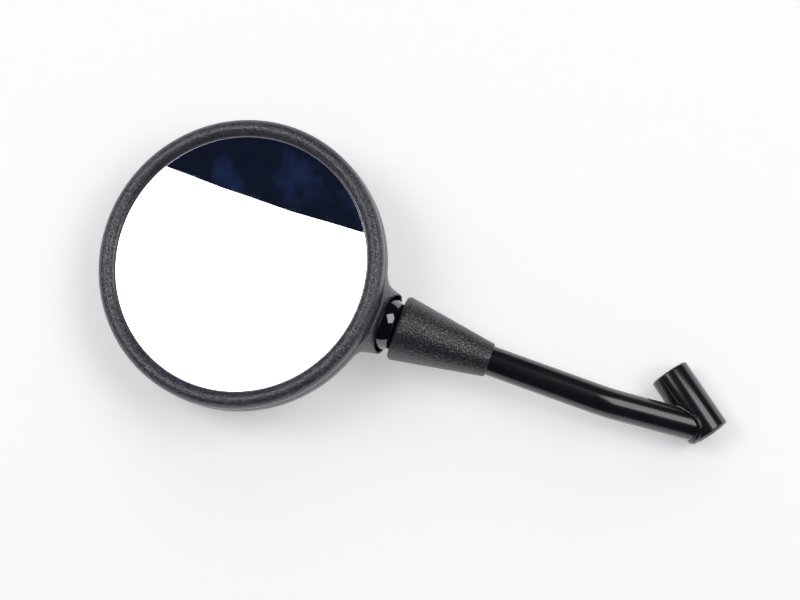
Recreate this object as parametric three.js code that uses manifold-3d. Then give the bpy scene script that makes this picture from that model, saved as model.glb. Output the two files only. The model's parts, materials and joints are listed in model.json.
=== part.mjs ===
// Round bicycle mirror: a framed convex mirror head on a ball joint, carried by a bent tube arm that is
// welded to a short bolt sleeve. Millimetres, +Z up. The object lies on its back with the mirror facing up,
// resting on the rear shell and the sleeve; the origin is under the middle of its bounding box and
// +X runs along the sleeve's bore.
import * as THREE from 'three';
import { mergeVertices } from 'three/addons/utils/BufferGeometryUtils.js';
import Module from 'manifold-3d';

const wasm = await Module();
wasm.setup();

// Clearances
const gap = 0.3; // between pieces that rest on each other
const slipFit = 0.2; // radial, around coaxial pieces that are fixed to each other

// Mirror head. Depths count down from the front of the rim.
const headRadius = 45;
const rimDepth = 5;
const rimCrestInset = 2.7; // from the outside of the rim to its highest line
const rimShoulder = 2.8; // depth at which the outside wall starts to round over
const rimWidth = 5; // outside of the rim to the visible glass
const rimLipDepth = 1.9;
const rimTongueDepth = 6.8;
const glassOverlap = 1; // glass hidden under the rim
const glassEdgeDepth = 2.7;
const glassThickness = 1.8;
const mirrorCurve = 600; // radius of the convex glass
const padMargin = 1.5; // glass pad to the clamp ring behind it
const padThickness = 0.8;
const carrierThickness = 1.6;
const shellWall = 1.8;
const shellSkirtDepth = 8;
const headDepth = 22;
const postRadius = 3.4;
const postCircle = 27; // radius of the circle of screw posts
const carrierScrews = 4;
const screwHeadRadius = 2.4;
const screwHeadHeight = 1.2;
const screwShankRadius = 1.1;
const screwLength = 6;

// Ball joint
const ballRadius = 8.4;
const linerThickness = 0.5;
const seatWall = 0.8;
const jointOutset = 0.1; // ball centre outside the outside radius of the rim
const jointDepth = 16.5;
const bossTilt = 4; // boss axis leans to the rear
const bossReach = 2.5; // boss mouth beyond the ball's centre
const bossMouthTaper = 4.5; // length over which the boss narrows to its mouth
const bossMouthWall = 0.5; // boss wall at its mouth, outside the seat
const bossLip = 0.5; // thickness of the lip that keeps the liner in
const bossScoop = 12; // the mouth is cut back by this angle on its front side
const bossLength = 20;
const flareReach = 5.5;
const flareSpread = 10;
const flareFlatness = 0.42;
const linerMouth = 87; // half angle
const linerTilt = 4; // the liner's mouth is turned back on its front side, like the boss's
const cupStart = 3.5; // rim of the clamping cup behind the ball's centre
const cupBase = 1.6;
const springHeight = 1.4;
const springThickness = 0.6;
const clampRingThickness = 2;
const slotWidth = 2.4; // screwdriver slot across the clamp ring

// Stud, collar and cone, measured along the stem from the ball's centre
const neckRadius = 2.8;
const coneNesting = 3.7; // how far the ball reaches into the cone
const coneLength = 30.1;
const coneWideRadius = 10.4;
const coneNarrowRadius = 5.25;
const coneWall = 1.4;
const coneShoulder = 1.4; // radius of the rounded wide end
const collarThickness = 2.2;
const spigotRadius = 6.2;
const spigotLength = 3;
const washerThickness = 0.8;
const washerRadius = 5.2;
const nutAcrossFlats = 9;
const nutThickness = 4;
const studTail = 1.5; // stud past the nut

// Arm
const tubeRadius = 4.65;
const tubeWall = 1;
const tubeSetback = 15.8; // tube's end behind the face of the ball
const plugLength = 12;
const plugFlange = 1.6;
const plugFlangeRadius = 5.2;
const plugBoreRadius = 1.6;
const stemReach = 73.05; // ball's centre to the bend
const bendLength = 9;
const endStretch = 33.7; // bend to the sleeve's axis
const sleeveRadius = 6.25;
const boreRadius = 4.25;
const sleeveLength = 23;
const sleeveChamfer = 0.5;
const joinOffset = 10; // where the arm's axis meets the sleeve's axis
const joinAngle = 43.8; // in plan, between arm and sleeve
const joinRise = 16;
const stemTurn = 7.14; // in plan, at the bend
const stemRise = 1.35;
const beadRadius = 1.4;

// Rest pose of the ball joint
const headRoll = 3.44;
const headNod = -12.33;
const headYaw = -2.25;

// Facets round the head, round the joint and sleeve, and round small pieces
const wideFacets = 48;
const roundFacets = 32;
const smallFacets = 20;
const ballSteps = 14; // pole to pole
const armSteps = 30;
const beadSteps = 40;
const beadFacets = 8;
const glassRings = 4;

// Sizes that follow from the ones above
const rad = THREE.MathUtils.degToRad;
const glassRadius = headRadius - rimWidth + glassOverlap;
const rimInner = headRadius - rimWidth;
const jointRadius = headRadius + jointOutset;
const linerInner = ballRadius + gap;
const linerOuter = linerInner + linerThickness;
const seatRadius = linerOuter + gap;
const bossBore = seatRadius + gap;
const bossRadius = bossBore + seatWall;
const bossMouthRadius = Math.sqrt(seatRadius ** 2 - bossReach ** 2) + bossMouthWall;
const lipRadius = ballRadius + gap;
const cupRadius = bossBore - gap;
const cupEnd = seatRadius + cupBase;
const springStart = cupEnd + gap;
const clampRingStart = springStart + springHeight + gap;
const socketEnd = clampRingStart + clampRingThickness + gap;
const padRadius = jointRadius - socketEnd - padMargin;
const coneStart = ballRadius - coneNesting;
const coneSlope = (coneWideRadius - coneNarrowRadius) / coneLength;
const collarStart = ballRadius + gap;
const collarEnd = collarStart + collarThickness;
const collarRadius = coneWideRadius - coneSlope * (collarEnd - coneStart) - coneWall - slipFit;
const spigotEnd = collarEnd + spigotLength;
const washerStart = spigotEnd + gap;
const nutStart = washerStart + washerThickness + gap;
const studEnd = nutStart + nutThickness + studTail;
const shankBore = neckRadius + gap;
const tubeStart = ballRadius + tubeSetback;
const tubeBore = tubeRadius - tubeWall;

// ---------------------------------------------------------------- solids

// A closed three.js geometry as a solid, facing out.
function solid(geometry) {
  const bare = geometry.clone();
  bare.deleteAttribute('normal');
  bare.deleteAttribute('uv');
  const merged = mergeVertices(bare, 1e-4);
  const points = merged.attributes.position;
  const corners = [];
  const a = new THREE.Vector3();
  const b = new THREE.Vector3();
  const c = new THREE.Vector3();
  let volume = 0;
  for (let i = 0; i < merged.index.count; i += 3) {
    const [p, q, r] = [0, 1, 2].map((k) => merged.index.getX(i + k));
    if (p === q || q === r || r === p) continue;
    corners.push(p, q, r);
    a.fromBufferAttribute(points, p);
    b.fromBufferAttribute(points, q);
    c.fromBufferAttribute(points, r);
    volume += a.dot(b.cross(c));
  }
  if (volume < 0) corners.reverse();
  const vertProperties = new Float32Array(points.array);
  const triVerts = new Uint32Array(corners);
  return new wasm.Manifold(new wasm.Mesh({ numProp: 3, vertProperties, triVerts }));
}

function geometryOf(body) {
  const mesh = body.getMesh();
  const geometry = new THREE.BufferGeometry();
  geometry.setAttribute('position', new THREE.BufferAttribute(mesh.vertProperties, 3));
  geometry.setIndex(new THREE.BufferAttribute(mesh.triVerts, 1));
  const flat = geometry.toNonIndexed();
  flat.computeVertexNormals();
  return flat;
}

// Turned piece about Z from [radius, height] points.
function turned(points, facets = smallFacets) {
  const profile = points.map(([radius, height]) => new THREE.Vector2(radius, height));
  return new THREE.LatheGeometry(profile, facets).rotateX(Math.PI / 2);
}

// Turned piece about X from [distance along X, radius] points.
function turnedX(points, facets = smallFacets) {
  return turned(points.map(([along, radius]) => [radius, along]), facets).rotateY(Math.PI / 2);
}

// Plain rod along Z.
function rodZ(start, end, radius, facets = smallFacets) {
  return turned([[0, start], [radius, start], [radius, end], [0, end]], facets);
}

// Plain rod along X.
function rodX(start, end, radius, facets = roundFacets) {
  return turnedX([[start, 0], [start, radius], [end, radius], [end, 0]], facets);
}

function box(low, high) {
  const size = high.map((value, axis) => value - low[axis]);
  const middle = high.map((value, axis) => (value + low[axis]) / 2);
  return new THREE.BoxGeometry(...size).translate(...middle);
}

// Points of an arc, [x, y], angles in degrees.
function arc(centre, radii, from, to, steps) {
  return Array.from({ length: steps + 1 }, (_, i) => {
    const angle = rad(from + ((to - from) * i) / steps);
    return [centre[0] + radii[0] * Math.cos(angle), centre[1] + radii[1] * Math.sin(angle)];
  });
}

function part(name, body, colour, roughness, metalness = 0) {
  const material = new THREE.MeshStandardMaterial({ color: colour, roughness, metalness });
  const mesh = new THREE.Mesh(geometryOf(body), material);
  mesh.name = name;
  return mesh;
}

// Unit vector from its plan angle and its rise.
function direction(plan, rise) {
  const flat = Math.cos(rad(rise));
  return new THREE.Vector3(flat * Math.cos(rad(plan)), flat * Math.sin(rad(plan)), Math.sin(rad(rise)));
}

// ---------------------------------------------------------------- mirror head
// Head frame: origin at the centre of the rim's front plane, +Z out of the mirror, +X towards the joint.

// Depth below the rim's front of a surface parallel to the glass, lying `below` behind its face.
function curvedDepth(radius, below) {
  const rise = (r) => Math.sqrt(mirrorCurve ** 2 - r ** 2) - mirrorCurve;
  return -glassEdgeDepth - below + rise(radius) - rise(glassRadius);
}

// Disc bent to the curve of the glass.
function curvedDisc(radius, below, thickness) {
  const rings = Array.from({ length: glassRings + 1 }, (_, i) => (radius * i) / glassRings);
  const back = rings.map((r) => [r, curvedDepth(r, below + thickness)]);
  const front = rings.map((r) => [r, curvedDepth(r, below)]).reverse();
  return turned([...back, ...front], wideFacets);
}

// The boss's own frame sits at the ball's centre with +X out of the mouth.
function inBoss(geometry) {
  return geometry.rotateY(rad(bossTilt)).translate(jointRadius, 0, -jointDepth);
}

const postPlaces = Array.from({ length: carrierScrews }, (_, i) => {
  const angle = (2 * Math.PI * (i + 0.5)) / carrierScrews;
  return [postCircle * Math.cos(angle), postCircle * Math.sin(angle)];
});

const padBelow = glassThickness + gap;
const carrierBelow = padBelow + padThickness + gap;
const screwSeat = curvedDepth(postCircle, carrierBelow) - screwHeadHeight - gap;
const postTop = screwSeat - carrierThickness - gap;

// Room above the socket, cut from the pieces that would otherwise run into the boss.
function socketRoom(top) {
  const side = bossRadius + gap;
  const inner = jointRadius - socketEnd - bossRadius * Math.sin(rad(bossTilt)) - gap;
  return solid(box([inner, -side, -headDepth], [2 * headRadius, side, top]));
}

function rim() {
  const shoulder = [headRadius - rimCrestInset, -rimShoulder];
  const wall = headRadius - shellWall - gap;
  const lip = curvedDepth(glassRadius, 0) + gap;
  const profile = [
    [rimInner, lip],
    [glassRadius + gap, lip],
    [glassRadius + gap, -rimTongueDepth],
    [wall, -rimTongueDepth],
    [wall, -rimDepth],
    [headRadius, -rimDepth],
    ...arc(shoulder, [rimCrestInset, rimShoulder], 0, 90, 4),
    ...arc([shoulder[0], -rimLipDepth], [shoulder[0] - rimInner, rimLipDepth], 90, 180, 3).slice(1),
    [rimInner, lip],
  ];
  const ring = solid(turned(profile, wideFacets));
  return ring.subtract(socketRoom(-rimDepth));
}

function carrierPlate() {
  let plate = solid(curvedDisc(glassRadius, carrierBelow, carrierThickness));
  const bossTop = curvedDepth(postCircle, carrierBelow) - carrierThickness / 2;
  for (const [x, y] of postPlaces) {
    plate = plate.add(solid(rodZ(postTop + gap, bossTop, postRadius).translate(x, y, 0)));
    const headHole = screwHeadRadius + gap;
    const shankHole = screwShankRadius + gap;
    const hole = [[0, postTop], [shankHole, postTop], [shankHole, screwSeat], [headHole, screwSeat]];
    plate = plate.subtract(solid(turned([...hole, [headHole, 0], [0, 0]]).translate(x, y, 0)));
  }
  return plate.subtract(socketRoom(0));
}

function carrierScrew() {
  const seat = screwSeat + gap;
  const top = seat + screwHeadHeight - gap;
  const tip = screwSeat - screwLength;
  return solid(turned([
    [0, tip], [screwShankRadius, tip + screwShankRadius], [screwShankRadius, seat],
    [screwHeadRadius, seat], [screwHeadRadius, top - gap], [screwHeadRadius - gap, top], [0, top],
  ]));
}

function rearShell() {
  const skirtTop = -rimDepth - gap;
  const outer = (inset) => [
    [0, 0], [headRadius - inset, 0],
    ...arc([0, -shellSkirtDepth], [headRadius - inset, headDepth - shellSkirtDepth - inset], 0, -90, 9),
  ];
  let shell = solid(turned(outer(0), wideFacets));
  const flareTop = bossMouthRadius + flareSpread;
  const flare = [
    [-bossLength, 0], [-bossLength, flareTop], [bossReach - flareReach, flareTop],
    ...arc([bossReach, flareTop], [flareReach, flareSpread], 180, 270, 6).slice(1),
    [bossReach, 0],
  ];
  const web = turnedX(flare, roundFacets).scale(1, 1, flareFlatness);
  shell = shell.add(solid(web.translate(jointRadius, 0, skirtTop)));
  const taperStart = bossReach - bossMouthTaper;
  const boss = turnedX([
    [-bossLength, 0], [-bossLength, bossRadius], [taperStart, bossRadius],
    [bossReach, bossMouthRadius], [bossReach, 0],
  ], roundFacets);
  shell = shell.add(solid(inBoss(boss)));
  const scoop = box([0, -headRadius, -headRadius], [headRadius, headRadius, headRadius]);
  shell = shell.subtract(solid(inBoss(scoop.rotateY(rad(-bossScoop)).translate(bossReach, 0, 0))));
  const wide = 2 * headRadius;
  shell = shell.subtract(solid(box([-wide, -wide, skirtTop], [wide, wide, wide])));

  const core = solid(turned(outer(shellWall), wideFacets));
  const socket = solid(inBoss(rodX(-socketEnd, bossReach, bossRadius)));
  shell = shell.subtract(core.subtract(socket));
  for (const [x, y] of postPlaces) {
    const post = solid(rodZ(-headDepth + shellWall / 2, postTop, postRadius).translate(x, y, 0));
    shell = shell.add(post.intersect(core.add(shell)));
    const hole = rodZ(screwSeat - screwLength - gap, 0, screwShankRadius + gap);
    shell = shell.subtract(solid(hole.translate(x, y, 0)));
  }
  const seat = solid(new THREE.SphereGeometry(seatRadius, roundFacets, smallFacets));
  const lip = solid(rodX(bossReach - bossLip, bossRadius, bossRadius));
  const mouth = solid(rodX(0, bossReach + bossMouthTaper, lipRadius));
  const socketBore = solid(rodX(-socketEnd - gap, -gap, bossBore));
  const cavity = geometryOf(seat.subtract(lip).add(mouth).add(socketBore));
  return shell.subtract(solid(inBoss(cavity)));
}

// Outline of a spherical cup about X, from the half angle of its open mouth to its pole behind.
function ballCap(radius, mouth, steps) {
  return [...arc([0, 0], [radius, radius], mouth, 180, steps).slice(0, -1), [-radius, 0]];
}

function ballLiner() {
  const outer = ballCap(linerOuter, linerMouth, 8);
  const inner = ballCap(linerInner, linerMouth, 8);
  return solid(turnedX([...outer, ...inner.reverse(), outer[0]], roundFacets));
}

function socketCup() {
  const start = 180 - THREE.MathUtils.radToDeg(Math.acos(cupStart / seatRadius));
  const bowl = ballCap(seatRadius, start, 6);
  return solid(turnedX([
    ...bowl, [-cupEnd, 0], [-cupEnd, cupRadius], [-cupStart, cupRadius], bowl[0],
  ], roundFacets));
}

function discSpring() {
  const inner = cupRadius / 2;
  const outer = cupRadius - gap;
  const near = -springStart;
  const far = -springStart - springHeight;
  return solid(turnedX([
    [near, inner], [near - springThickness, inner],
    [far, outer], [far + springThickness, outer], [near, inner],
  ], roundFacets));
}

function clampRing() {
  const bore = cupRadius / 2;
  const near = -clampRingStart;
  const far = near - clampRingThickness;
  const ring = solid(turnedX([
    [near, bore], [near, cupRadius], [far, cupRadius], [far, bore], [near, bore],
  ], roundFacets));
  const slot = box(
    [far - gap, -slotWidth / 2, -bossRadius],
    [far + clampRingThickness / 2, slotWidth / 2, bossRadius],
  );
  return ring.subtract(solid(slot));
}

// ---------------------------------------------------------------- stud, collar and cone
// Stem frame: origin at the ball's centre, +X along the stem towards the bend.

function ballStud() {
  const neckAngle = THREE.MathUtils.radToDeg(Math.asin(neckRadius / ballRadius));
  const ball = ballCap(ballRadius, neckAngle, ballSteps).reverse();
  const chamfer = neckRadius / 4;
  return solid(turnedX([
    ...ball, [studEnd - chamfer, neckRadius], [studEnd, neckRadius - chamfer], [studEnd, 0],
  ], roundFacets));
}

function collar() {
  return solid(turnedX([
    [collarStart, shankBore], [collarStart, collarRadius],
    [collarEnd, collarRadius], [collarEnd, spigotRadius],
    [spigotEnd, spigotRadius], [spigotEnd, shankBore], [collarStart, shankBore],
  ], roundFacets));
}

function springWasher() {
  const end = washerStart + washerThickness;
  const bore = neckRadius + slipFit;
  return solid(turnedX([
    [washerStart, bore], [washerStart, washerRadius], [end, washerRadius], [end, bore], [washerStart, bore],
  ]));
}

function lockNut() {
  const corner = nutAcrossFlats / Math.sqrt(3);
  const end = nutStart + nutThickness;
  const hex = solid(turnedX([[nutStart, 0], [nutStart, corner], [end, corner], [end, 0]], 6));
  return hex.subtract(solid(rodX(nutStart - gap, end + gap, neckRadius + slipFit)));
}

function coneCover() {
  const end = coneStart + coneLength;
  const outerAt = (x) => coneWideRadius - coneSlope * (x - coneStart);
  const bore = tubeRadius + slipFit;
  const boreStart = coneStart + (coneWideRadius - coneWall - bore) / coneSlope;
  const mouth = collarRadius + slipFit;
  const lipEnd = coneStart + coneWall;
  const shoulderEnd = coneStart + coneShoulder;
  const shoulder = [shoulderEnd, outerAt(shoulderEnd) - coneShoulder];
  return solid(turnedX([
    [coneStart, mouth], ...arc(shoulder, [coneShoulder, coneShoulder], 180, 90, 4), [end, coneNarrowRadius],
    [end, bore], [boreStart, bore], [lipEnd, outerAt(lipEnd) - coneWall], [lipEnd, mouth], [coneStart, mouth],
  ], roundFacets));
}

function tubePlug() {
  const flangeStart = tubeStart - gap - plugFlange;
  const body = tubeBore - slipFit;
  return solid(turnedX([
    [flangeStart, plugBoreRadius], [flangeStart, plugFlangeRadius], [tubeStart - gap, plugFlangeRadius],
    [tubeStart - gap, body], [tubeStart + plugLength, body], [tubeStart + plugLength, plugBoreRadius],
    [flangeStart, plugBoreRadius],
  ]));
}

// ---------------------------------------------------------------- arm and sleeve
// Sleeve frame: origin at the middle of the sleeve's axis, +X along its bore.

const joinPoint = new THREE.Vector3(joinOffset, 0, 0);
const endDirection = direction(180 + joinAngle, joinRise);
const stemDirection = direction(180 + joinAngle - stemTurn, stemRise);
const bendPoint = joinPoint.clone().addScaledVector(endDirection, endStretch);
const ballPoint = bendPoint.clone().addScaledVector(stemDirection, stemReach);

// Centre line of the arm; a cutting sweep runs `overrun` past both of its ends.
function armPath(overrun = 0) {
  const tubeEnd = ballPoint.clone().addScaledVector(stemDirection, overrun - tubeStart);
  const last = joinPoint.clone().addScaledVector(endDirection, -overrun);
  const before = bendPoint.clone().addScaledVector(stemDirection, bendLength / 2);
  const after = bendPoint.clone().addScaledVector(endDirection, -bendLength / 2);
  const path = new THREE.CurvePath();
  path.add(new THREE.LineCurve3(tubeEnd, before));
  path.add(new THREE.QuadraticBezierCurve3(before, bendPoint, after));
  path.add(new THREE.LineCurve3(after, last));
  return path;
}

function sweep(path, radius) {
  const ring = arc([0, 0], [radius, radius], 0, 360, smallFacets).slice(0, smallFacets);
  const section = new THREE.Shape(ring.map(([x, y]) => new THREE.Vector2(x, y)));
  return new THREE.ExtrudeGeometry(section, { steps: armSteps, bevelEnabled: false, extrudePath: path });
}

function armTube() {
  const wall = solid(sweep(armPath(), tubeRadius)).subtract(solid(sweep(armPath(tubeWall), tubeBore)));
  const sleeveRoom = rodX(-sleeveLength, joinOffset + sleeveLength, sleeveRadius + gap);
  return wall.subtract(solid(sleeveRoom));
}

// Closed line where the outside of the arm meets the outside of the sleeve.
function saddleLine() {
  const across = new THREE.Vector3(0, 0, 1).cross(endDirection).normalize();
  const upright = endDirection.clone().cross(across);
  const points = Array.from({ length: roundFacets }, (_, i) => {
    const angle = (2 * Math.PI * i) / roundFacets;
    const side = across.clone().multiplyScalar(Math.cos(angle)).addScaledVector(upright, Math.sin(angle));
    const start = joinPoint.clone().addScaledVector(side, tubeRadius);
    const a = endDirection.y ** 2 + endDirection.z ** 2;
    const b = start.y * endDirection.y + start.z * endDirection.z;
    const c = start.y ** 2 + start.z ** 2 - sleeveRadius ** 2;
    return start.addScaledVector(endDirection, (-b + Math.sqrt(b * b - a * c)) / a);
  });
  return new THREE.CatmullRomCurve3(points, true);
}

function weldBead() {
  const bead = solid(new THREE.TubeGeometry(saddleLine(), beadSteps, beadRadius, beadFacets, true));
  const sleeveRoom = solid(rodX(-sleeveLength, joinOffset + sleeveLength, sleeveRadius + slipFit));
  const armRoom = solid(sweep(armPath(tubeWall), tubeRadius + slipFit));
  return bead.subtract(sleeveRoom).subtract(armRoom);
}

function mountSleeve() {
  const half = sleeveLength / 2;
  const lip = sleeveChamfer;
  return solid(turnedX([
    [-half, boreRadius + lip], [-half, sleeveRadius - lip],
    [lip - half, sleeveRadius], [half - lip, sleeveRadius],
    [half, sleeveRadius - lip], [half, boreRadius + lip], [half - lip, boreRadius], [lip - half, boreRadius],
    [-half, boreRadius + lip],
  ], roundFacets));
}

// ---------------------------------------------------------------- assembly

const glossBlack = '#0b0b0d';
const grainBlack = '#2a2a2e';
const plainBlack = '#1c1c1f';
const steel = '#9a9ca0';

function headGroup() {
  const head = new THREE.Group();
  head.add(part('rim', rim(), grainBlack, 0.55));
  head.add(part('mirror_glass', solid(curvedDisc(glassRadius, 0, glassThickness)), '#e8ecef', 0.02, 1));
  head.add(part('glass_pad', solid(curvedDisc(padRadius, padBelow, padThickness)), '#e6e4dc', 0.9));
  head.add(part('carrier_plate', carrierPlate(), plainBlack, 0.6));
  head.add(part('rear_shell', rearShell(), grainBlack, 0.55));
  postPlaces.forEach(([x, y], i) => {
    const screw = part(`carrier_screw_${i + 1}`, carrierScrew(), steel, 0.35, 1);
    screw.position.set(x, y, 0);
    head.add(screw);
  });
  const clamp = new THREE.Group();
  clamp.position.set(jointRadius, 0, -jointDepth);
  clamp.rotation.y = rad(bossTilt);
  clamp.add(part('socket_cup', socketCup(), plainBlack, 0.5));
  clamp.add(part('disc_spring', discSpring(), steel, 0.35, 1));
  clamp.add(part('clamp_ring', clampRing(), steel, 0.4, 1));
  head.add(clamp);
  return head;
}

function stemGroup() {
  const stem = new THREE.Group();
  stem.add(part('collar', collar(), glossBlack, 0.15));
  stem.add(part('cone_cover', coneCover(), grainBlack, 0.6));
  stem.add(part('tube_plug', tubePlug(), plainBlack, 0.5));
  const spin = new THREE.Group();
  spin.add(part('ball_stud', ballStud(), glossBlack, 0.12, 0.6));
  spin.add(part('spring_washer', springWasher(), steel, 0.35, 1));
  spin.add(part('lock_nut', lockNut(), steel, 0.35, 1));
  spin.rotation.x = rad(headRoll);
  stem.add(spin);

  const nod = new THREE.Group();
  nod.rotation.y = rad(headNod);
  const liner = part('ball_liner', ballLiner(), plainBlack, 0.5);
  liner.rotation.y = rad(bossTilt + linerTilt);
  nod.add(liner);
  spin.add(nod);

  const yaw = new THREE.Group();
  yaw.rotation.z = rad(headYaw);
  const head = headGroup();
  head.position.set(-jointRadius, 0, jointDepth);
  yaw.add(head);
  nod.add(yaw);
  return stem;
}

const mirror = new THREE.Group();
mirror.add(part('mount_sleeve', mountSleeve(), glossBlack, 0.2, 0.3));
mirror.add(part('weld_bead', weldBead(), glossBlack, 0.25, 0.3));
mirror.add(part('arm_tube', armTube(), glossBlack, 0.2, 0.3));
const stem = stemGroup();
stem.position.copy(ballPoint);
stem.rotation.set(0, rad(stemRise), rad(joinAngle - stemTurn), 'ZYX');
mirror.add(stem);

const model = new THREE.Group();
model.add(mirror);
const extent = new THREE.Box3().setFromObject(model, true);
const middle = extent.getCenter(new THREE.Vector3());
mirror.position.set(-middle.x, -middle.y, -extent.min.z);
model.updateMatrixWorld(true);

export default model;
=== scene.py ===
import json
import math

import bmesh
import bpy
import numpy as np
from mathutils import Matrix, Vector


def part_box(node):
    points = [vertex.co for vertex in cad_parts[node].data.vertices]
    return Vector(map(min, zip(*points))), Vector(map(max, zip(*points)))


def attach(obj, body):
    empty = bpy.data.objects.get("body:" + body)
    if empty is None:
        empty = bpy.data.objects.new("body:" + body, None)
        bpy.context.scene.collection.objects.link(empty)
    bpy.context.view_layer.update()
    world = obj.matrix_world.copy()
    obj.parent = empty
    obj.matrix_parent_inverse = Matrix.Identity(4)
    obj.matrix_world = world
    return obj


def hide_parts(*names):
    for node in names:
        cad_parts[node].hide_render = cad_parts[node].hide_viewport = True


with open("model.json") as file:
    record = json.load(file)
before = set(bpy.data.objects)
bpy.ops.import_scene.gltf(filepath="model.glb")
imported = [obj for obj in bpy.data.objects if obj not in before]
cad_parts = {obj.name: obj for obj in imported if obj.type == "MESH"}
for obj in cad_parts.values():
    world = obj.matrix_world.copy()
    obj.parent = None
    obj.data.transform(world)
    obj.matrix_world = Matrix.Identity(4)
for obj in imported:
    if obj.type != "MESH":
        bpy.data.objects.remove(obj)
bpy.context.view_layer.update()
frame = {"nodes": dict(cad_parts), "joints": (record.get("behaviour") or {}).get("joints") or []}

# ---------------------------------------------------------------- camera
# The mirror lies face up and is looked at from nearly straight above, with the head to
# the left and the arm running away to the right.
MM = 0.001
camera_turn = math.radians(56.5)
camera_lift = math.radians(80.0)
camera_distance = 0.8767
camera_aim = Vector((-4.1, 8.3, 10.0)) * MM
right = Vector((math.cos(camera_turn), math.sin(camera_turn), 0))
away = Vector((-math.sin(camera_turn), math.cos(camera_turn), 0))
up = Vector((0, 0, 1))
back = (up * math.sin(camera_lift) - away * math.cos(camera_lift)).normalized()

camera = bpy.data.objects.new("camera", bpy.data.cameras.new("camera"))
camera.data.lens = 127.5
camera.data.sensor_width = 36
camera.data.clip_start = 0.01
camera.data.clip_end = 20
camera.location = camera_aim + back * camera_distance
camera.rotation_mode = "QUATERNION"
camera.rotation_quaternion = (-back).to_track_quat("-Z", "Y")
bpy.context.scene.collection.objects.link(camera)
bpy.context.scene.camera = camera
bpy.context.scene.view_settings.view_transform = "Standard"

# ---------------------------------------------------------------- table and lights
# A pale, faintly lit table under large soft boxes either side of the camera and a weak
# light beyond it. The left box hangs level over the head and the glass mirrors it up to
# its far edge, which bows in. Past the boxes the room is dark blue.


class Sock:
    """A socket of a shader tree that can be added, subtracted and multiplied like a number."""

    def __init__(self, nodes, socket):
        self.nodes = nodes
        self.socket = socket

    def math(self, operation, first, second):
        return self.nodes.node("ShaderNodeMath", {"operation": operation}, {0: first, 1: second})

    def __add__(self, other):
        return self.math("ADD", self, other)

    def __rsub__(self, other):
        return self.math("SUBTRACT", other, self)

    def __mul__(self, other):
        return self.math("MULTIPLY", self, other)

    __radd__ = __add__
    __rmul__ = __mul__


class Nodes:
    """A shader tree that starts empty."""

    def __init__(self, tree):
        self.tree = tree
        self.tree.nodes.clear()

    def node(self, kind, settings, values, out=0):
        """A new node: its settings come first, then the values or links of its inputs."""
        made = self.tree.nodes.new(kind)
        for name, value in settings.items():
            setattr(made, name, value)
        for key, value in values.items():
            if isinstance(value, Sock):
                self.tree.links.new(value.socket, made.inputs[key])
            else:
                made.inputs[key].default_value = value
        return Sock(self, made.outputs[out])

    def place(self, sense="Object"):
        """Where a point of the piece is, in metres; or, for the room, which way it lies."""
        return self.node("ShaderNodeTexCoord", {}, {}, out=sense)

    def between(self, amount, low, high, start=0.0, end=1.0):
        """amount from start to end, remapped to low to high and kept there."""
        values = {"Value": amount, "From Min": start, "From Max": end, "To Min": low, "To Max": high}
        return self.node("ShaderNodeMapRange", {"clamp": True}, values)

    def blend(self, amount, first, second):
        settings = {"data_type": "RGBA", "blend_type": "MIX"}
        return self.node("ShaderNodeMix", settings, {0: amount, 6: (*first, 1), 7: (*second, 1)}, out=2)


class Finish(Nodes):
    """A material and the nodes that make it. A named value goes to the shader's own socket."""

    def __init__(self, name, **uniform):
        self.material = bpy.data.materials.new(name)
        self.material.use_nodes = True
        super().__init__(self.material.node_tree)
        self.shader = self.tree.nodes.new("ShaderNodeBsdfPrincipled")
        output = self.tree.nodes.new("ShaderNodeOutputMaterial")
        self.tree.links.new(self.shader.outputs[0], output.inputs[0])
        for socket, value in uniform.items():
            self.shader.inputs[socket.replace("_", " ")].default_value = value

    def feed(self, **sockets):
        for name, value in sockets.items():
            self.tree.links.new(value.socket, self.shader.inputs[name.replace("_", " ")])

    def noise(self, size, detail=2.0, roughness=0.5):
        """Noise whose grains are about size metres across."""
        values = {"Vector": self.place(), "Scale": 1 / size, "Detail": detail, "Roughness": roughness}
        return self.node("ShaderNodeTexNoise", {}, values, out="Fac")

    def pits(self, size):
        """Distance to the nearest of many scattered points that are about size metres apart."""
        values = {"Vector": self.place(), "Scale": 1 / size}
        return self.node("ShaderNodeTexVoronoi", {"feature": "F1"}, values, out="Distance")

    def bump(self, height, depth, strength=1.0):
        return self.node("ShaderNodeBump", {}, {"Strength": strength, "Distance": depth, "Height": height})


def glow(name, centre, aim, width, height, power):
    """A soft box: an area light that shows in glossy things."""
    lamp = bpy.data.lights.new(name, "AREA")
    lamp.shape = "RECTANGLE"
    lamp.size = width
    lamp.size_y = height
    lamp.energy = power
    holder = bpy.data.objects.new(name, lamp)
    holder.location = centre
    holder.rotation_mode = "QUATERNION"
    holder.rotation_quaternion = (aim - centre).to_track_quat("-Z", "Y")
    bpy.context.scene.collection.objects.link(holder)
    return holder


def toward(across, beyond, height):
    """A point of the studio, from metres to the right, away and up."""
    return right * across + away * beyond + up * height


box_height, box_depth, box_radiance = 1.05, 0.47, 3.6
far_edge = [toward(-1.0, 0.611, box_height), toward(-0.60, 0.4115, box_height),
            toward(-0.45, 0.3435, box_height), toward(-0.25, 0.2665, box_height)]
for k, (start, end) in enumerate(zip(far_edge, far_edge[1:])):
    width = (end - start).length
    along = (end - start) / width
    over = up.cross(along)
    centre = (start + end - over * box_depth) / 2
    width += 0.06
    power = box_radiance * math.pi * width * box_depth
    panel = glow(f"softbox_left_{k + 1}", centre, centre - up, width, box_depth, power)
    panel.rotation_quaternion = Matrix((along, over, up)).transposed().to_quaternion()
middle = Vector((0, 0, 0.01))
glow("softbox_right", toward(0.66, 0.12, 0.95), middle, 0.75, 0.6, 4.5)
glow("window_light", toward(0.25, 1.35, 0.85), middle, 1.6, 0.8, 4).visible_glossy = False

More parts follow.
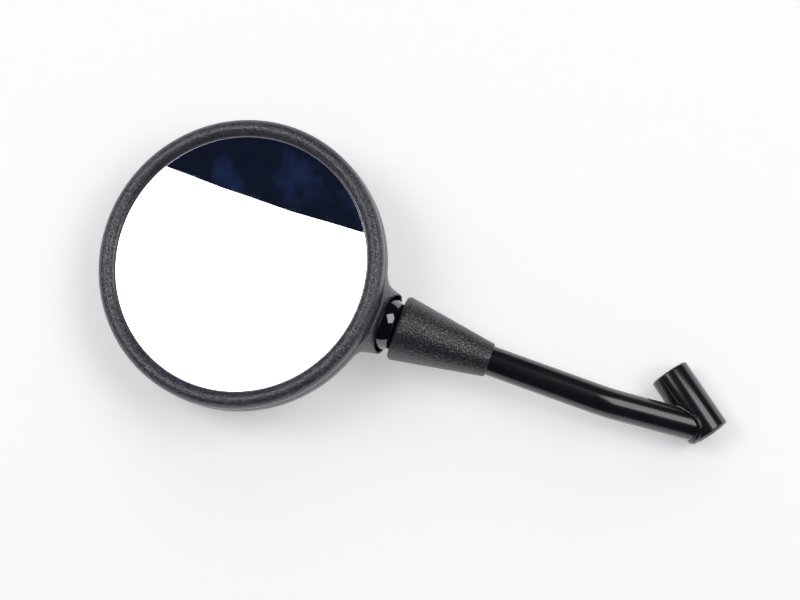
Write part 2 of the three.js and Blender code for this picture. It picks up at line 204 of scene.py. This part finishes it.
world = bpy.data.worlds.new("studio")
bpy.context.scene.world = world
world.use_nodes = True
room = Nodes(world.node_tree)
drapes = room.node(
    "ShaderNodeTexNoise", {}, {"Vector": room.place("Generated"), "Scale": 16, "Detail": 3}, out="Fac")
navy = room.blend(room.between(drapes, 0, 1, 0.52, 0.9), (0.006, 0.009, 0.020), (0.020, 0.042, 0.13))
dark = room.node("ShaderNodeBackground", {}, {0: navy})
fill = room.node("ShaderNodeBackground", {}, {0: (0.9, 0.93, 1.0, 1), 1: 0.24})
mirrored = room.node("ShaderNodeLightPath", {}, {}, out="Is Glossy Ray")
seen = room.node("ShaderNodeMixShader", {}, {0: mirrored, 1: fill, 2: dark})
room.tree.links.new(seen.socket, room.tree.nodes.new("ShaderNodeOutputWorld").inputs[0])

table_reach = 6.0
table_corners = [(-table_reach, -table_reach, 0), (table_reach, -table_reach, 0),
                 (table_reach, table_reach, 0), (-table_reach, table_reach, 0)]
table = bpy.data.meshes.new("table")
table.from_pydata(table_corners, [], [(0, 1, 2, 3)])
table_top = bpy.data.objects.new("table", table)
bpy.context.scene.collection.objects.link(table_top)
paper = Finish("table_paper", Roughness=0.75, Specular_IOR_Level=0.2, Emission_Strength=0.35)
mottle = paper.noise(0.004, 4.0)
paper.feed(
    Base_Color=paper.blend(mottle, (0.80, 0.80, 0.80), (0.84, 0.84, 0.84)),
    Emission_Color=paper.blend(mottle, (0.98, 0.975, 0.97), (1.0, 0.995, 0.99)),
)
table.materials.append(paper.material)

# ---------------------------------------------------------------- where things are
# The ball joint's centre and axes come from the joints of the frame. The head's own
# frame has Z out of the mirror and X towards the joint; the stem's has X along the stem.
joints = {joint["name"]: joint for joint in frame["joints"]}
ball_centre = Vector(joints["head_spin"]["pos_m"])
stem_axis = Vector(joints["head_spin"]["axis"]).normalized()
face_axis = Vector(joints["head_yaw"]["axis"]).normalized()


def points_of(node):
    mesh = frame["nodes"][node].data
    flat = np.empty(3 * len(mesh.vertices))
    mesh.vertices.foreach_get("co", flat)
    return flat.reshape(-1, 3)


def basis(origin, along, normal):
    """Matrix of a frame with Z on normal and X as near to along as it can be, in millimetres."""
    z = normal.normalized()
    x = (along - z * along.dot(z)).normalized()
    turned = Matrix((x, z.cross(x), z)).transposed().to_4x4()
    return Matrix.Translation(origin) @ turned @ Matrix.Scale(MM, 4)


glass_points = points_of("mirror_glass")
glass_middle = Vector((glass_points.min(0) + glass_points.max(0)) / 2)
rim_front = (points_of("rim") @ np.array(face_axis)).max()
head_origin = glass_middle + face_axis * (rim_front - glass_middle.dot(face_axis))
head = basis(head_origin, ball_centre - head_origin, face_axis)
stem = basis(ball_centre, stem_axis, up - stem_axis * up.dot(stem_axis))

# ---------------------------------------------------------------- rim
# A moulded ring of charcoal elastomer with a fine leather-like grain. It snaps over
# the edge of the glass and sits on the rear shell with a thin parting line between.


def arc(centre, radii, start, end, steps):
    """Points of an elliptical arc, [x, y], angles in degrees."""
    turns = np.radians(np.linspace(start, end, steps + 1))
    return [(centre[0] + radii[0] * math.cos(a), centre[1] + radii[1] * math.sin(a)) for a in turns]


def softened(corners, radius, steps=5):
    """The closed outline through corners, each rounded off by up to radius."""
    outline = []
    count = len(corners)
    for i, corner in enumerate(corners):
        here = Vector(corner)
        before, after = Vector(corners[i - 1]) - here, Vector(corners[(i + 1) % count]) - here
        reach = min(radius, before.length * 0.45, after.length * 0.45)
        start, end = here + before.normalized() * reach, here + after.normalized() * reach
        for t in np.linspace(0, 1, steps + 1):
            point = start * (1 - t) ** 2 + here * (2 * t * (1 - t)) + end * t ** 2
            outline.append((point.x, point.y))
    return outline


def placed(name, points, faces, matrix, sharp=40):
    """A smooth-shaded object from points in a frame; its place is in its mesh."""
    mesh = bpy.data.meshes.new(name)
    mesh.from_pydata([matrix @ Vector(p) for p in points], [], faces)
    shape = bmesh.new()
    shape.from_mesh(mesh)
    bmesh.ops.remove_doubles(shape, verts=shape.verts, dist=1e-7)
    bmesh.ops.dissolve_degenerate(shape, edges=shape.edges, dist=1e-8)
    bmesh.ops.recalc_face_normals(shape, faces=shape.faces)
    shape.to_mesh(mesh)
    shape.free()
    mesh.shade_smooth()
    mesh.set_sharp_from_angle(angle=math.radians(sharp))
    piece = bpy.data.objects.new(name, mesh)
    bpy.context.scene.collection.objects.link(piece)
    return piece


def turned_piece(name, outline, matrix, facets=160, sharp=40, axis="Z"):
    """Turns a closed outline of (radius, height) round the frame's Z, or X with (along, radius)."""
    points, faces = [], []
    count = len(outline)
    for i in range(facets):
        angle = 2 * math.pi * i / facets
        for a, b in outline:
            if axis == "Z":
                points.append((a * math.cos(angle), a * math.sin(angle), b))
            else:
                points.append((a, b * math.cos(angle), b * math.sin(angle)))
    for i in range(facets):
        for k in range(count):
            n = (k + 1) % count
            m = (i + 1) % facets
            faces.append((i * count + k, i * count + n, m * count + n, m * count + k))
    return placed(name, points, faces, matrix, sharp)


def stands_for(piece, body, slot, *nodes):
    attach(piece, body)
    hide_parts(*nodes)


head_radius = 45.0
rim_depth = 5.0
crest_width, crest_depth = 2.7, 2.8
crest = head_radius - crest_width
lip_drop = 2.05
glass_edge = 40.0
lip_under = -2.56
tongue_foot = -6.6
tongue_inner, tongue_outer = glass_edge + 1.3, head_radius - 2.1
edge_break = 0.25
rim_outline = [
    (tongue_inner, lip_under), (tongue_inner, tongue_foot),
    (tongue_outer, tongue_foot), (tongue_outer, -rim_depth),
    (head_radius - edge_break, -rim_depth), (head_radius, -rim_depth + edge_break),
    *arc((crest, -crest_depth), (crest_width, crest_depth), 0, 90, 14),
    *arc((crest, -lip_drop), (crest - glass_edge - 0.05, lip_drop), 90, 172, 12)[1:],
    (glass_edge - 0.02, lip_under + 0.14), (glass_edge + 0.1, lip_under),
]
rim = turned_piece("rim_ring", rim_outline, head, facets=384)

grained = Finish("grained_plastic", Specular_IOR_Level=1.0)
grains = grained.noise(0.0005, 2.0, 0.6)
grit = grained.between(grains, 0.0, 1.0, 0.4, 0.66)
grained.feed(
    Base_Color=grained.blend(grit, (0.014, 0.014, 0.018), (0.105, 0.105, 0.128)),
    Roughness=grained.between(grit, 0.30, 0.15),
    Normal=grained.bump(grained.pits(0.0006) * 0.5 + grains, 0.0003, 0.6),
)
rim.data.materials.append(grained.material)
stands_for(rim, "head", "grained_plastic", "rim")

# ---------------------------------------------------------------- mirror glass
# Round convex glass, silvered, with a ground bevel round its edge. The rim's lip
# covers its outermost millimetre.
curve = 600.0
glass_radius = 41.0
glass_thickness = 1.8
glass_drop = 2.7
bevel_width = 0.35
bevel_start = glass_edge - bevel_width


def bowed(radius, drop):
    """Height of a surface parallel to the glass, drop below its face."""
    edge_height = math.sqrt(curve ** 2 - glass_radius ** 2)
    return -glass_drop - drop + math.sqrt(curve ** 2 - radius ** 2) - edge_height


rings = np.linspace(0, 1, 41)
face_line = [(r, bowed(r, 0)) for r in bevel_start * rings]
edge_line = [
    (glass_radius - 0.3, bowed(glass_edge, bevel_width)),
    (glass_radius, bowed(glass_radius, 2 * bevel_width)),
    (glass_radius, bowed(glass_radius, glass_thickness) + 0.1)]
back_line = [(r, bowed(r, glass_thickness)) for r in (glass_radius - 0.1) * rings[::-1]]
glass = turned_piece("mirror_disc", face_line + edge_line + back_line, head, facets=384, sharp=10)

silver = Finish("mirror_silver", Metallic=1.0, Roughness=0.012, Coat_Weight=0.6, Coat_Roughness=0.004)
haze = silver.noise(0.018, 3.0)
out_from = silver.node(
    "ShaderNodeVectorMath", {"operation": "DISTANCE"}, {0: silver.place(), 1: glass_middle}, out="Value")
ground = silver.between(out_from, 0, 1, (bevel_start - 0.1) * MM, (bevel_start + 0.1) * MM)
silver.feed(
    Base_Color=silver.blend(ground, (0.92, 0.93, 0.94), (0.26, 0.26, 0.32)),
    Roughness=silver.between(haze, 0.006, 0.02, 0.4, 0.75) + ground * 0.5,
    Metallic=1 - ground * 0.85,
)
glass.data.materials.append(silver.material)
stands_for(glass, "head", "mirror_glass", "mirror_glass")

# ---------------------------------------------------------------- rear shell
# Moulded back of the head in the same grained plastic: a shallow dome whose wall
# flares out into a round boss for the ball. Its mouth is cut back on the mirror side.
shell_top = -rim_depth - 0.3
skirt = -8.0
dome_rise = 14.0
wall = 1.8
joint_reach = 45.1
joint_depth = 16.5
boss_tilt = math.radians(4.0)
boss_reach = 2.5
boss_radius = 10.6
mouth_outer = 9.67
mouth_inner = 8.7
mouth_taper = 4.5
boss_length = 20.0
boss_core = 14.0
boss_flare = 6.0
seat_radius = 9.5
socket_play = 0.3
socket_depth = 17.0
boss_lip = 0.5
scoop = math.radians(12.0)


def soft_min(a, b, k):
    h = np.clip(0.5 + 0.5 * (b - a) / k, 0, 1)
    return b * (1 - h) + a * h - k * h * (1 - h)


def soft_max(a, b, k):
    return -soft_min(-a, -b, k)


def bowl(p, radius, rise):
    """Distance to a straight-sided round bowl: a cylinder closed by half an ellipsoid below the skirt."""
    low = np.minimum(p[:, 2] - skirt, 0)
    across = np.hypot(p[:, 0], p[:, 1])
    size = np.sqrt((across / radius) ** 2 + (low / rise) ** 2) + 1e-9
    slope = np.sqrt((across / radius ** 2) ** 2 + (low / rise ** 2) ** 2) + 1e-9
    return (size - 1) * size / slope


def boss_frame(p):
    """Points seen from the ball's centre with X out of the boss."""
    q = p - np.array([joint_reach, 0, -joint_depth])
    c, s = math.cos(boss_tilt), math.sin(boss_tilt)
    return np.column_stack([c * q[:, 0] - s * q[:, 2], q[:, 1], s * q[:, 0] + c * q[:, 2]])


def shell_distance(p):
    b = boss_frame(p)
    across = np.hypot(b[:, 1], b[:, 2])
    along = np.clip((b[:, 0] - boss_reach + mouth_taper) / mouth_taper, 0, 1)
    boss = np.maximum(across - boss_radius + (boss_radius - mouth_outer) * along, -b[:, 0] - boss_length)
    outside = soft_min(bowl(p, head_radius, dome_rise), boss, boss_flare)
    outside = soft_max(outside, p[:, 2] - shell_top, 0.3)
    past_end = b[:, 0] - boss_reach
    outside = soft_max(outside, past_end, 0.5)
    outside = soft_max(outside, math.cos(scoop) * past_end + math.sin(scoop) * b[:, 2], 0.5)
    core = np.maximum(across - boss_radius, -b[:, 0] - boss_core)
    hollow = np.maximum(bowl(p, head_radius - wall, dome_rise - wall), -core)
    ball_seat = np.maximum(np.sqrt((b ** 2).sum(1)) - seat_radius, past_end + boss_lip)
    mouth = np.maximum(across - mouth_inner, -b[:, 0])
    socket = np.maximum(b[:, 0] + socket_play, -b[:, 0] - socket_depth)
    socket = np.maximum(across - seat_radius - socket_play, socket)
    cut = np.minimum(np.minimum(hollow, mouth), np.minimum(ball_seat, socket))
    return soft_max(outside, -cut, 0.25)


def skinned(distance, low, high, step):
    """Points and quads of the surface where distance is zero: one point for each cell that it crosses."""
    axes = [np.arange(a, b + step, step) for a, b in zip(low, high)]
    shape = [len(a) for a in axes]
    grid = np.stack(np.meshgrid(*axes, indexing="ij"), -1).reshape(-1, 3)
    values = distance(grid).reshape(shape)
    inside = values < 0
    cells = tuple(n - 1 for n in shape)
    total, hits = np.zeros(cells + (3,)), np.zeros(cells)
    crossings = []
    for axis in range(3):
        first = [slice(None)] * 3
        second = [slice(None)] * 3
        first[axis], second[axis] = slice(0, -1), slice(1, None)
        a, b = values[tuple(first)], values[tuple(second)]
        found = np.argwhere((a < 0) != (b < 0))
        t = (a / (a - b + 1e-30))[tuple(found.T)]
        spot = found.astype(float)
        spot[:, axis] += t
        others = [o for o in range(3) if o != axis]
        quad = []
        for du, dv in ((0, 0), (1, 0), (1, 1), (0, 1)):
            cell = found.copy()
            cell[:, others[0]] -= du
            cell[:, others[1]] -= dv
            np.add.at(total, tuple(cell.T), spot)
            np.add.at(hits, tuple(cell.T), 1)
            quad.append(cell)
        crossings.append((quad, inside[tuple(found.T)], axis))
    used = hits > 0
    number = np.cumsum(used.ravel()).reshape(cells) - 1
    points = total[used] / hits[used][:, None] * step + np.array(low)
    faces = []
    for quad, starts_inside, axis in crossings:
        corners = np.column_stack([number[tuple(cell.T)] for cell in quad])
        flip = starts_inside if axis != 1 else ~starts_inside
        corners[~flip] = corners[~flip][:, ::-1]
        faces.append(corners)
    return points, np.concatenate(faces)


def drawn_to(points, distance, rounds=4):
    """Moves points onto the surface where distance is zero."""
    tiny = 0.01
    for _ in range(rounds):
        here = distance(points)
        slope = np.column_stack([(distance(points + tiny * np.eye(3)[k]) - here) / tiny for k in range(3)])
        points = points - slope * (here / np.maximum((slope ** 2).sum(1), 0.2))[:, None]
    return points


shell_step = 0.4
points, faces = skinned(shell_distance, (-46.5, -46.5, -29.5), (50.0, 46.5, -3.5), shell_step)
points = drawn_to(points, shell_distance)
shell = placed("rear_case", points.tolist(), faces.tolist(), head, sharp=60)
shell.data.materials.append(grained.material)
stands_for(shell, "head", "grained_plastic", "rear_shell")

# ---------------------------------------------------------------- ball liner
# Thin cup of black acetal between ball and boss, which lets the head turn with a firm,
# even friction. The boss lip holds it in and hides its edge.
acetal = Finish("black_acetal", Roughness=0.38)
acetal.feed(
    Base_Color=acetal.blend(acetal.noise(0.002, 3.0), (0.012, 0.012, 0.014), (0.020, 0.020, 0.023)),
    Normal=acetal.bump(acetal.noise(0.0005), 0.00003, 0.4),
)
liner = frame["nodes"]["ball_liner"]
liner.data.materials.clear()
liner.data.materials.append(acetal.material)

# ---------------------------------------------------------------- ball stud
# Steel ball and stud turned from one bar, polished and coated deep gloss black. The ball
# fills the boss mouth; the stud passes through the collar into the cone.
ball_radius = 8.4
neck = 2.8
stud_end = 20.8
stud_chamfer = 0.7
neck_angle = math.degrees(math.asin(neck / ball_radius))
stud_outline = [
    (-ball_radius, 0.0), *arc((0, 0), (ball_radius, ball_radius), 180, neck_angle, 60)[1:],
    (stud_end - stud_chamfer, neck), (stud_end, neck - stud_chamfer), (stud_end, 0.0)]
stud = turned_piece("stud_and_ball", stud_outline, stem, facets=128, axis="X")

polished = Finish(
    "polished_coat", Roughness=0.08, IOR=1.65, Coat_Weight=1.0, Coat_Roughness=0.05, Coat_IOR=1.6)
polished.feed(
    Base_Color=polished.blend(polished.noise(0.004), (0.003, 0.003, 0.004), (0.006, 0.006, 0.008)),
    Normal=polished.bump(polished.noise(0.003), 0.00003, 0.3),
)
stud.data.materials.append(polished.material)
stands_for(stud, "ball", "gloss_paint", "ball_stud")

# ---------------------------------------------------------------- collar
# Gloss black ring inside the wide end of the cone, with a spigot that runs back towards
# the tube. The stud turns in its bore.
cone_start = 4.7
cone_length = 30.1
cone_end = cone_start + cone_length
wide, narrow = 10.4, 5.25
cone_wall = 1.4
collar_start, collar_end, spigot_end = 8.7, 10.9, 13.9
collar_radius, spigot_radius = 7.74, 6.2
stud_play = 0.3
bore = neck + stud_play


def cone_radius(x):
    return wide + (narrow - wide) * (x - cone_start) / cone_length


collar_outline = softened([
    (collar_start, bore), (collar_start, collar_radius), (collar_end, collar_radius),
    (collar_end, spigot_radius), (spigot_end, spigot_radius), (spigot_end, bore)], 0.3, 4)
collar = turned_piece("collar_ring", collar_outline, stem, facets=128, axis="X")

gloss = Finish(
    "gloss_coat", Specular_IOR_Level=0.3, Coat_Weight=0.9, Coat_Roughness=0.16, Coat_IOR=1.6)
drift = gloss.noise(0.012)
gloss.feed(
    Base_Color=gloss.blend(drift, (0.0045, 0.0045, 0.006), (0.008, 0.008, 0.010)),
    Roughness=gloss.between(drift, 0.25, 0.38, 0.3, 0.7),
    Normal=gloss.bump(gloss.noise(0.0022), 0.00004, 0.35),
)
collar.data.materials.append(gloss.material)
stands_for(collar, "arm", "gloss_paint", "collar")

# ---------------------------------------------------------------- cone cover
# Tapered moulding of matt black plastic with a coarse sparkling grain. Its wide end is
# open, with a rounded shoulder, and the ball nests in it.
shoulder = 1.4
mouth_bore = cone_radius(collar_end) - cone_wall
shoulder_x = cone_start + shoulder
shoulder_r = cone_radius(shoulder_x) - shoulder
end_bore = 4.85
bore_start = cone_start + cone_length * (wide - end_bore - cone_wall) / (wide - narrow)
cone_outline = [
    (collar_end, mouth_bore), (cone_start + 0.4, mouth_bore), (cone_start + 0.12, mouth_bore + 0.12),
    (cone_start, mouth_bore + 0.4), *arc((shoulder_x, shoulder_r), (shoulder, shoulder), 180, 90, 14),
    *[(x, cone_radius(x)) for x in np.linspace(shoulder_x, cone_end - 0.3, 20)[1:]],
    (cone_end - 0.08, narrow - 0.04), (cone_end, narrow - 0.16), (cone_end, end_bore), (bore_start, end_bore)]
cone = turned_piece("cone_sleeve", cone_outline, stem, facets=192, axis="X")

coarse = Finish("coarse_grain_plastic", Specular_IOR_Level=1.0)
sparkle = coarse.noise(0.0006, 2.0, 0.6)
glint = coarse.between(sparkle, 0.0, 1.0, 0.45, 0.68)
coarse.feed(
    Base_Color=coarse.blend(glint, (0.005, 0.005, 0.007), (0.058, 0.058, 0.066)),
    Roughness=coarse.between(glint, 0.38, 0.2),
    Normal=coarse.bump(coarse.pits(0.0007) * 0.6 + sparkle, 0.0003, 0.7),
)
cone.data.materials.append(coarse.material)
stands_for(cone, "arm", "cone_plastic", "cone_cover")

# ---------------------------------------------------------------- arm tube
# Round steel tube, coated gloss black, with one tight bend before the sleeve. Its end
# is cut to a saddle that the sleeve sits in.
tube_radius = 4.65
tube_wall = 1.0
saddle_bite = 0.25
tube_start = 24.2
bend_reach = 73.05
bend_length = 9.0
sleeve_low, sleeve_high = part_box("mount_sleeve")
sleeve_middle = (sleeve_low + sleeve_high) / 2
sleeve_radius = 6.25
join_offset = 10.0
bend_point = ball_centre + stem_axis * bend_reach * MM
join_point = sleeve_middle + Vector((join_offset * MM, 0, 0))
end_axis = (join_point - bend_point).normalized()


def tube_line():
    """Points along the middle of the tube, in metres."""
    start = ball_centre + stem_axis * tube_start * MM
    before = bend_point - stem_axis * bend_length / 2 * MM
    after = bend_point + end_axis * bend_length / 2 * MM
    line = [start.lerp(before, t) for t in np.linspace(0, 1, 12)[:-1]]
    for t in np.linspace(0, 1, 15):
        line.append(before * (1 - t) ** 2 + bend_point * (2 * t * (1 - t)) + after * t ** 2)
    return line + [after.lerp(join_point, t) for t in np.linspace(0, 1, 9)[1:]]


def swept(line, radius, sides, side):
    """Rings of points round a line; side is a direction that lies across it."""
    rings = []
    for i, here in enumerate(line):
        ahead = line[min(i + 1, len(line) - 1)] - line[max(i - 1, 0)]
        ahead.normalize()
        across = (side - ahead * side.dot(ahead)).normalized()
        over = ahead.cross(across)
        angles = np.linspace(0, 2 * math.pi, sides, endpoint=False)
        rings.append([here + (across * math.cos(a) + over * math.sin(a)) * radius * MM for a in angles])
    return rings


def to_sleeve(point, sense, radius):
    """Moves a point along sense until it is radius from the sleeve's axis, on the near side."""
    q = point - sleeve_middle
    a = sense.y ** 2 + sense.z ** 2
    b = q.y * sense.y + q.z * sense.z
    c = q.y ** 2 + q.z ** 2 - (radius * MM) ** 2
    return point + sense * ((-b - math.sqrt(max(b * b - a * c, 0))) / a)


sides = 96
side = up.cross(stem_axis).normalized()
outer = swept(tube_line(), tube_radius, sides, side)
inner = swept(tube_line(), tube_radius - tube_wall, sides, side)
for tube_rings in (outer, inner):
    del tube_rings[-4:]
    tube_rings.append([to_sleeve(p, end_axis, sleeve_radius - saddle_bite) for p in tube_rings[-1]])
loops = outer + inner[::-1]
points = [p for ring in loops for p in ring]
faces = []
for i in range(len(loops)):
    j = (i + 1) % len(loops)
    for k in range(sides):
        n = (k + 1) % sides
        faces.append((i * sides + k, i * sides + n, j * sides + n, j * sides + k))
tube = placed("bent_tube", points, faces, Matrix.Identity(4), sharp=50)
tube.data.materials.append(gloss.material)
stands_for(tube, "arm", "gloss_paint", "arm_tube")

# ---------------------------------------------------------------- weld bead
# The fillet weld between tube and sleeve, laid as a row of small overlapping ripples
# and coated over with the rest of the arm.
ripples = 34
bead_radius, ripple_rise = 0.92, 0.04
bead_steps = ripples * 6
bead_sides = 16
bead_points, bead_faces = [], []
across = up.cross(end_axis).normalized()
over = end_axis.cross(across)
saddle = []
for i in range(bead_steps):
    angle = 2 * math.pi * i / bead_steps
    outward = across * math.cos(angle) + over * math.sin(angle)
    start = join_point - end_axis * 0.03 + outward * tube_radius * MM
    saddle.append(to_sleeve(start, end_axis, sleeve_radius))
centre_of_saddle = sum(saddle, Vector()) / bead_steps
for i, here in enumerate(saddle):
    ahead = (saddle[(i + 1) % bead_steps] - saddle[i - 1]).normalized()
    outward = (here - centre_of_saddle)
    outward = (outward - ahead * outward.dot(ahead)).normalized()
    beside = ahead.cross(outward)
    phase = (i * ripples / bead_steps) % 1
    size = (bead_radius + ripple_rise * (1 - (1 - phase) ** 2)) * MM
    for k in range(bead_sides):
        a = 2 * math.pi * k / bead_sides
        bead_points.append(here + outward * math.cos(a) * size + beside * math.sin(a) * size)
for i in range(bead_steps):
    j = (i + 1) % bead_steps
    for k in range(bead_sides):
        n = (k + 1) % bead_sides
        bead_faces.append((i * bead_sides + k, j * bead_sides + k, j * bead_sides + n, i * bead_sides + n))
bead = placed("weld_ripple", bead_points, bead_faces, Matrix.Identity(4), sharp=180)
bead.data.materials.append(gloss.material)
stands_for(bead, "arm", "gloss_paint", "weld_bead")

# ---------------------------------------------------------------- mount sleeve
# Short thick-walled tube with chamfered ends, coated gloss black. The mounting bolt
# goes through its plain bore.
sleeve_frame = basis(sleeve_middle, Vector((1, 0, 0)), up)
half = (sleeve_high.x - sleeve_low.x) / 2 / MM
sleeve_bore = 4.25
chamfer = 0.5
sleeve_outline = softened([
    (-half, sleeve_bore + chamfer), (-half, sleeve_radius - chamfer),
    (-half + chamfer, sleeve_radius), (half - chamfer, sleeve_radius),
    (half, sleeve_radius - chamfer), (half, sleeve_bore + chamfer),
    (half - chamfer, sleeve_bore), (-half + chamfer, sleeve_bore)], 0.18, 3)
sleeve = turned_piece("bolt_sleeve", sleeve_outline, sleeve_frame, facets=128, axis="X", sharp=35)
sleeve.data.materials.append(gloss.material)
stands_for(sleeve, "arm", "gloss_paint", "mount_sleeve")

# ---------------------------------------------------------------- inner pieces
# Pieces shut inside the head and the cone: they keep their shapes and take finishes
# of plain moulded plastic, zinc-plated steel and foam tape.
inner_plastic = Finish("inner_plastic", Roughness=0.5)
inner_plastic.feed(
    Base_Color=inner_plastic.blend(inner_plastic.noise(0.003), (0.018, 0.018, 0.018), (0.032, 0.032, 0.034)),
    Normal=inner_plastic.bump(inner_plastic.noise(0.0006), 0.00004, 0.5),
)
zinc = Finish("zinc_plate", Metallic=1.0)
zinc.feed(
    Base_Color=zinc.blend(zinc.noise(0.0015, 3.0), (0.46, 0.47, 0.50), (0.62, 0.63, 0.66)),
    Roughness=zinc.between(zinc.noise(0.0008), 0.26, 0.42),
)
foam = Finish("foam_tape", Roughness=0.9)
foam.feed(
    Base_Color=foam.blend(foam.noise(0.0007), (0.52, 0.51, 0.46), (0.68, 0.67, 0.61)),
    Normal=foam.bump(foam.noise(0.0004), 0.0001, 0.6),
)
screws = [f"carrier_screw_{k + 1}" for k in range(4)]
inner_finish = {
    inner_plastic: ["carrier_plate", "socket_cup", "tube_plug"],
    zinc: ["disc_spring", "clamp_ring", "spring_washer", "lock_nut", *screws],
    foam: ["glass_pad"],
}
for finish, names in inner_finish.items():
    for name in names:
        mesh = frame["nodes"][name].data
        mesh.materials.clear()
        mesh.materials.append(finish.material)
